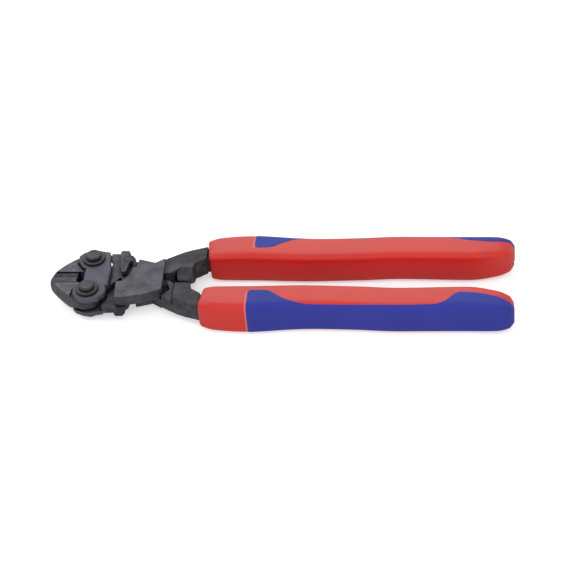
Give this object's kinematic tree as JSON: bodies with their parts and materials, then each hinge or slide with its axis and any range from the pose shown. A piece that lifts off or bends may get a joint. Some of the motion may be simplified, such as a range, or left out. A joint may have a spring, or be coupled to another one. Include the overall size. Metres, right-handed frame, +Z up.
{
  "type": "compact bolt cutters",
  "caption": "Hand-held compact bolt cutters: crossed jaws on a plate-and-bolt head, driven through tail pins by crossed handles with two-colour moulded grips.",
  "frame": {"origin": "middle of the length and width, on the surface the tool lies on", "axes": "+X from the nose to the handle ends, +Y towards the upper handle of the picture, +Z up from the surface"},
  "size_m": [0.2, 0.0508, 0.0164],
  "materials": {
    "forged_steel": "dark grey phosphated forged steel",
    "jaw_steel": "dark grey forged steel with ground cutting bevels",
    "pin_steel": "dark grey turned steel",
    "red_grip": "satin red moulded plastic",
    "blue_grip": "soft matt blue moulded plastic"
  },
  "bodies": {
    "lower_handle": {"lower_handle": "forged_steel", "upper_tail_pin": "pin_steel", "handle_pivot_pin": "pin_steel", "lower_grip_shell": "red_grip", "lower_grip_inlay": "blue_grip"},
    "upper_handle": {"upper_handle": "forged_steel", "lower_tail_pin": "pin_steel", "upper_grip_shell": "red_grip", "upper_grip_inlay": "blue_grip"},
    "lower_jaw": {"lower_jaw": "jaw_steel"},
    "head": {"front_plate": "forged_steel", "rear_plate": "forged_steel", "upper_head_bolt": "pin_steel", "lower_head_bolt": "pin_steel", "upper_head_nut": "pin_steel", "lower_head_nut": "pin_steel", "upper_front_washer": "pin_steel", "lower_front_washer": "pin_steel", "upper_rear_washer": "pin_steel", "lower_rear_washer": "pin_steel"},
    "upper_jaw": {"upper_jaw": "jaw_steel"}
  },
  "joints": [
    {"name": "handle_pivot", "type": "hinge", "parent": "lower_handle", "child": "upper_handle", "pos_m": [-0.0548, 0, 0.0082], "axis": [0, 0, 1], "range_deg": [0, 19.5]},
    {"name": "lower_jaw_tail", "type": "hinge", "parent": "lower_handle", "child": "lower_jaw", "pos_m": [-0.0668, 0.01, 0.0082], "axis": [0, 0, 1], "range_deg": [0, 17.8]},
    {"name": "head_pivot", "type": "hinge", "parent": "lower_jaw", "child": "head", "pos_m": [-0.0818, -0.01, 0.0082], "axis": [0, 0, 1], "range_deg": [-8, 0]},
    {"name": "upper_jaw_tail", "type": "hinge", "parent": "upper_handle", "child": "upper_jaw", "pos_m": [-0.0668, -0.01, 0.0082], "axis": [0, 0, 1], "range_deg": [-17.8, 0]}
  ],
  "couplings": [
    {"joint": "lower_jaw_tail", "follows": "handle_pivot", "ratio": 0.9075},
    {"joint": "head_pivot", "follows": "handle_pivot", "ratio": -0.4075},
    {"joint": "upper_jaw_tail", "follows": "handle_pivot", "ratio": -0.9075}
  ]
}
